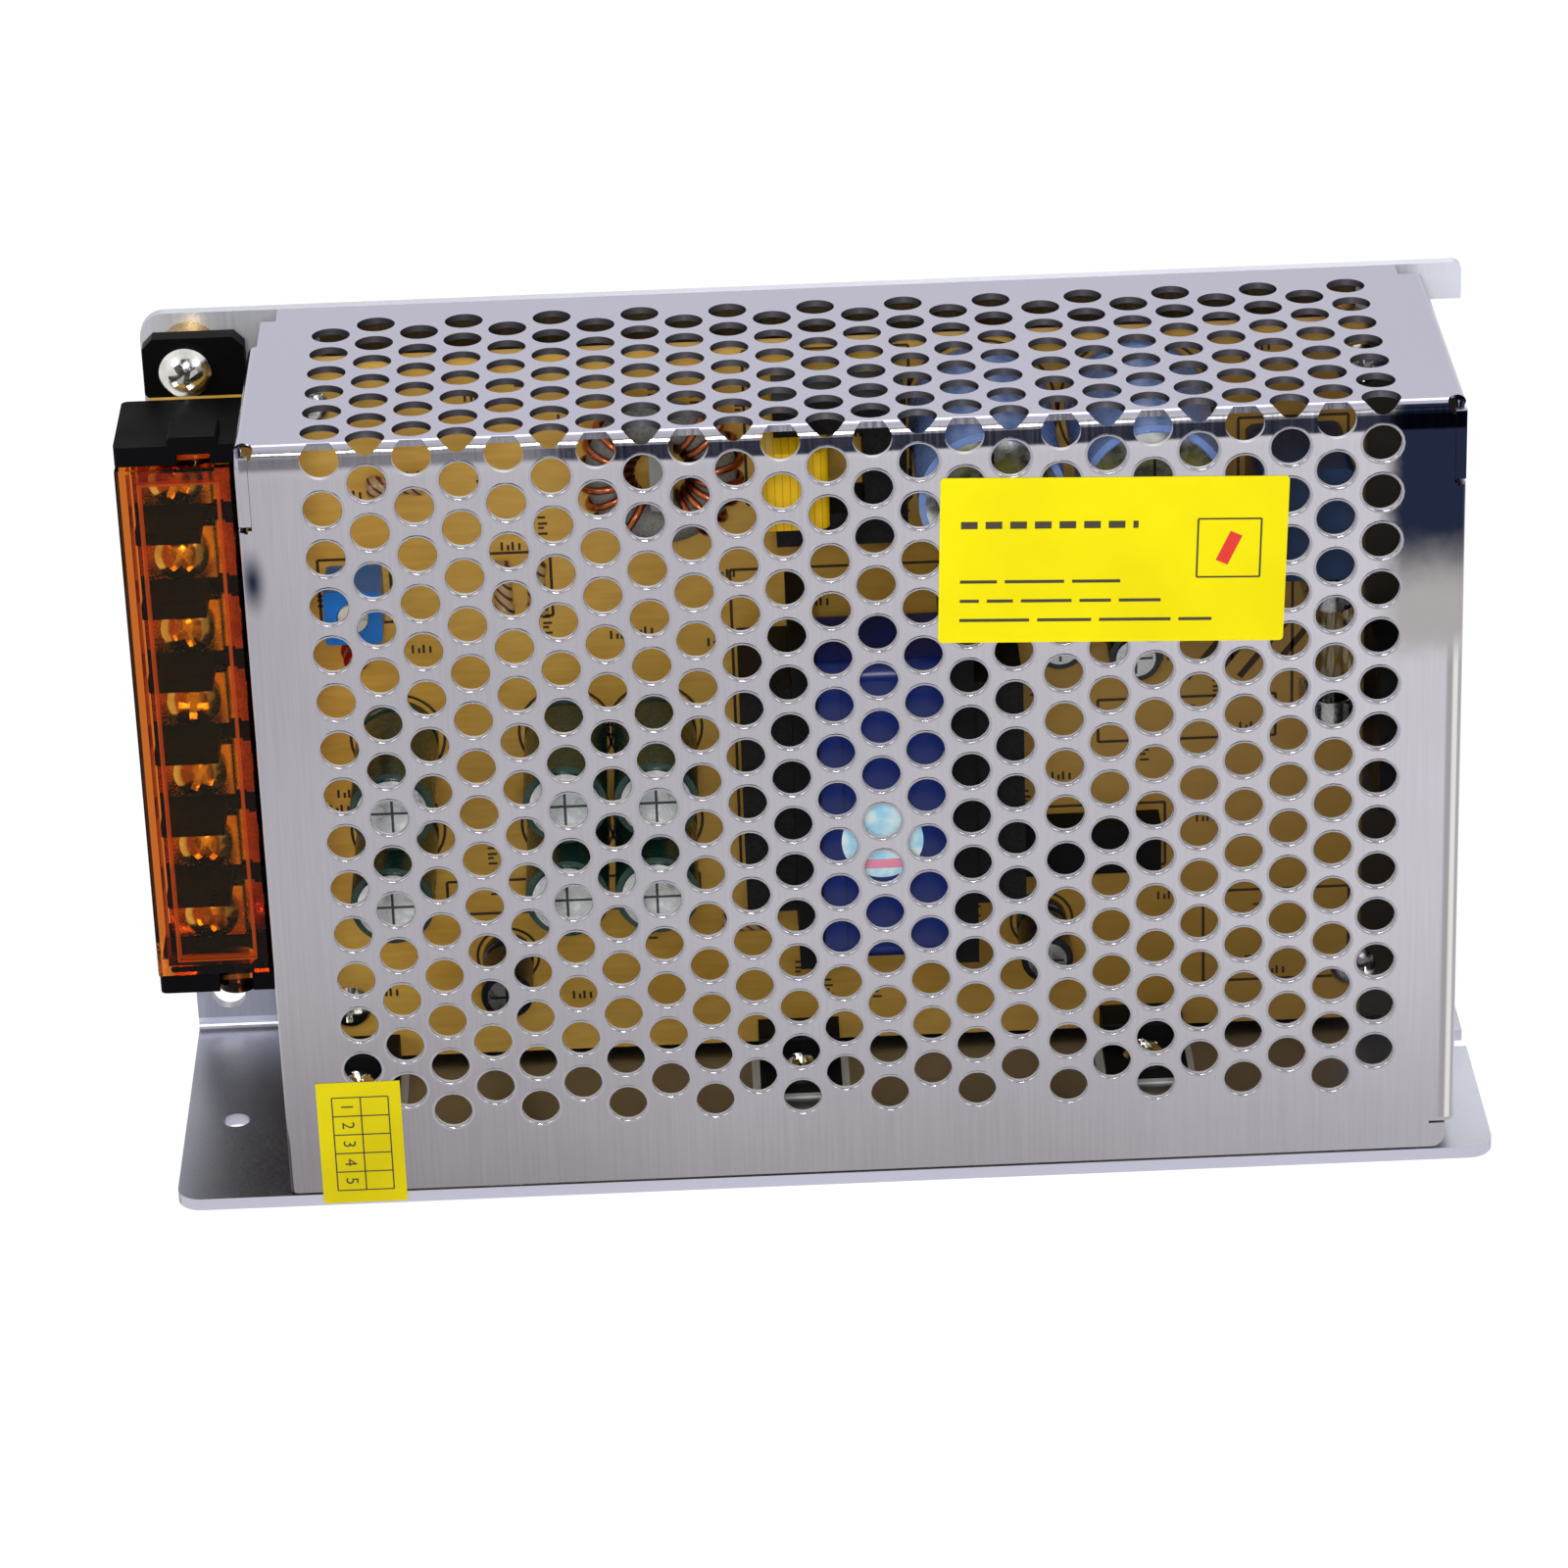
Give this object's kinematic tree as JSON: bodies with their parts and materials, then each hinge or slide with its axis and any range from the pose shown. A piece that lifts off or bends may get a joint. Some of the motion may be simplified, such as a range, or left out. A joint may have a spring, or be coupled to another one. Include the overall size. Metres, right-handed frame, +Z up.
{
  "type": "led power supply",
  "caption": "Folded metal case with a perforated cover, screw terminals under a hinged amber lid at one end, and a board of supply parts seen through the holes.",
  "frame": {"origin": "bottom centre of the box, on the side wall that the case stands on", "axes": "+X along the case away from the terminals, +Y from the perforated face to the base plate, +Z up"},
  "size_m": [0.1596, 0.045, 0.098],
  "materials": {
    "galvanised_sheet": "zinc-coated sheet, faint rolling grain",
    "perforated_sheet": "bright zinc-coated sheet, punched and folded",
    "phenolic_board": "tan paper-phenolic board with dark print",
    "black_plastic": "moulded, satin",
    "gloss_black": "moulded, glossy",
    "amber_plastic": "clear amber polycarbonate",
    "zinc_steel": "bright zinc-plated steel",
    "yellow_zinc": "yellow-passivated steel",
    "turned_brass": "turned",
    "ferrite": "ground ferrite",
    "grey_ferrite": "coated ferrite",
    "grey_plastic": "moulded",
    "blue_tape": "polyester tape",
    "yellow_tape": "polyester tape",
    "copper_wire": "enamelled copper",
    "lilac_sleeve": "shrunk sleeve on an aluminium can",
    "green_sleeve": "shrunk sleeve on an aluminium can",
    "black_sleeve": "shrunk sleeve on an aluminium can",
    "blue_resin": "dipped resin",
    "clear_glass": "drawn tube",
    "dark_resin": "moulded or dipped resin",
    "white_pad": "heat-conducting pad",
    "tan_resin": "lacquered",
    "blue_plastic": "moulded",
    "ivory_plastic": "moulded",
    "red_lens": "clear red epoxy",
    "yellow_paper": "printed, glossy"
  },
  "bodies": {
    "case": {"chassis": "galvanised_sheet", "side_wall": "galvanised_sheet", "cover": "perforated_sheet", "pcb": "phenolic_board", "pcb_standoffs": "turned_brass", "pcb_screws": "zinc_steel", "terminal_block": "black_plastic", "terminal_plates": "yellow_zinc", "corner_plate": "gloss_black", "corner_boss": "zinc_steel", "corner_screw": "zinc_steel", "transformer_core": "ferrite", "transformer_winding": "blue_tape", "transformer_bobbin": "black_plastic", "driver_core": "ferrite", "driver_winding": "yellow_tape", "output_choke_core": "grey_ferrite", "output_choke_winding": "copper_wire", "choke_divider": "grey_plastic", "bulk_capacitors": "lilac_sleeve", "output_capacitors": "green_sleeve", "small_capacitors": "black_sleeve", "film_capacitor": "blue_resin", "fuse_glass": "clear_glass", "fuse_caps": "zinc_steel", "fuse_clips": "zinc_steel", "thermistor": "dark_resin", "bridge_rectifier": "black_plastic", "power_devices": "black_plastic", "device_pads": "white_pad", "device_screws": "zinc_steel", "control_ic": "black_plastic", "resistors": "tan_resin", "trimmer_body": "blue_plastic", "indicator_led": "red_lens", "front_label": "yellow_paper", "seal_label": "yellow_paper"},
    "lid": {"terminal_lid": "amber_plastic"},
    "clamp_1": {"terminal_clamp_1": "yellow_zinc"},
    "screw_1": {"terminal_screw_1": "yellow_zinc"},
    "clamp_2": {"terminal_clamp_2": "yellow_zinc"},
    "screw_2": {"terminal_screw_2": "yellow_zinc"},
    "clamp_3": {"terminal_clamp_3": "yellow_zinc"},
    "screw_3": {"terminal_screw_3": "yellow_zinc"},
    "clamp_4": {"terminal_clamp_4": "yellow_zinc"},
    "screw_4": {"terminal_screw_4": "yellow_zinc"},
    "clamp_5": {"terminal_clamp_5": "yellow_zinc"},
    "screw_5": {"terminal_screw_5": "yellow_zinc"},
    "clamp_6": {"terminal_clamp_6": "yellow_zinc"},
    "screw_6": {"terminal_screw_6": "yellow_zinc"},
    "clamp_7": {"terminal_clamp_7": "yellow_zinc"},
    "screw_7": {"terminal_screw_7": "yellow_zinc"},
    "trimmer": {"trimmer_rotor": "ivory_plastic"}
  },
  "joints": [
    {"name": "lid_hinge", "type": "hinge", "parent": "case", "child": "lid", "pos_m": [-0.0706, -0.00205, 0.0559], "axis": [0, 0, 1], "range_deg": [0, 95]},
    {"name": "clamp_1_lift", "type": "slide", "parent": "case", "child": "clamp_1", "axis": [0, -1, 0], "range_m": [0, 0.003]},
    {"name": "screw_1_turn", "type": "hinge", "parent": "clamp_1", "child": "screw_1", "pos_m": [-0.0735, 0.00275, 0.0274], "axis": [0, -1, 0], "range_deg": [0, 1800]},
    {"name": "clamp_2_lift", "type": "slide", "parent": "case", "child": "clamp_2", "axis": [0, -1, 0], "range_m": [0, 0.003]},
    {"name": "screw_2_turn", "type": "hinge", "parent": "clamp_2", "child": "screw_2", "pos_m": [-0.0735, 0.00275, 0.0369], "axis": [0, -1, 0], "range_deg": [0, 1800]},
    {"name": "clamp_3_lift", "type": "slide", "parent": "case", "child": "clamp_3", "axis": [0, -1, 0], "range_m": [0, 0.003]},
    {"name": "screw_3_turn", "type": "hinge", "parent": "clamp_3", "child": "screw_3", "pos_m": [-0.0735, 0.00275, 0.0464], "axis": [0, -1, 0], "range_deg": [0, 1800]},
    {"name": "clamp_4_lift", "type": "slide", "parent": "case", "child": "clamp_4", "axis": [0, -1, 0], "range_m": [0, 0.003]},
    {"name": "screw_4_turn", "type": "hinge", "parent": "clamp_4", "child": "screw_4", "pos_m": [-0.0735, 0.00275, 0.0559], "axis": [0, -1, 0], "range_deg": [0, 1800]},
    {"name": "clamp_5_lift", "type": "slide", "parent": "case", "child": "clamp_5", "axis": [0, -1, 0], "range_m": [0, 0.003]},
    {"name": "screw_5_turn", "type": "hinge", "parent": "clamp_5", "child": "screw_5", "pos_m": [-0.0735, 0.00275, 0.0654], "axis": [0, -1, 0], "range_deg": [0, 1800]},
    {"name": "clamp_6_lift", "type": "slide", "parent": "case", "child": "clamp_6", "axis": [0, -1, 0], "range_m": [0, 0.003]},
    {"name": "screw_6_turn", "type": "hinge", "parent": "clamp_6", "child": "screw_6", "pos_m": [-0.0735, 0.00275, 0.0749], "axis": [0, -1, 0], "range_deg": [0, 1800]},
    {"name": "clamp_7_lift", "type": "slide", "parent": "case", "child": "clamp_7", "axis": [0, -1, 0], "range_m": [0, 0.003]},
    {"name": "screw_7_turn", "type": "hinge", "parent": "clamp_7", "child": "screw_7", "pos_m": [-0.0735, 0.00275, 0.0844], "axis": [0, -1, 0], "range_deg": [0, 1800]},
    {"name": "trimmer_turn", "type": "hinge", "parent": "case", "child": "trimmer", "pos_m": [-0.0539, 0.00155, 0.066], "axis": [0, -1, 0], "range_deg": [-135, 135]}
  ],
  "couplings": [
    {"joint": "screw_1_turn", "follows": "clamp_1_lift", "rad_per_m": 10472},
    {"joint": "screw_2_turn", "follows": "clamp_2_lift", "rad_per_m": 10472},
    {"joint": "screw_3_turn", "follows": "clamp_3_lift", "rad_per_m": 10472},
    {"joint": "screw_4_turn", "follows": "clamp_4_lift", "rad_per_m": 10472},
    {"joint": "screw_5_turn", "follows": "clamp_5_lift", "rad_per_m": 10472},
    {"joint": "screw_6_turn", "follows": "clamp_6_lift", "rad_per_m": 10472},
    {"joint": "screw_7_turn", "follows": "clamp_7_lift", "rad_per_m": 10472}
  ]
}
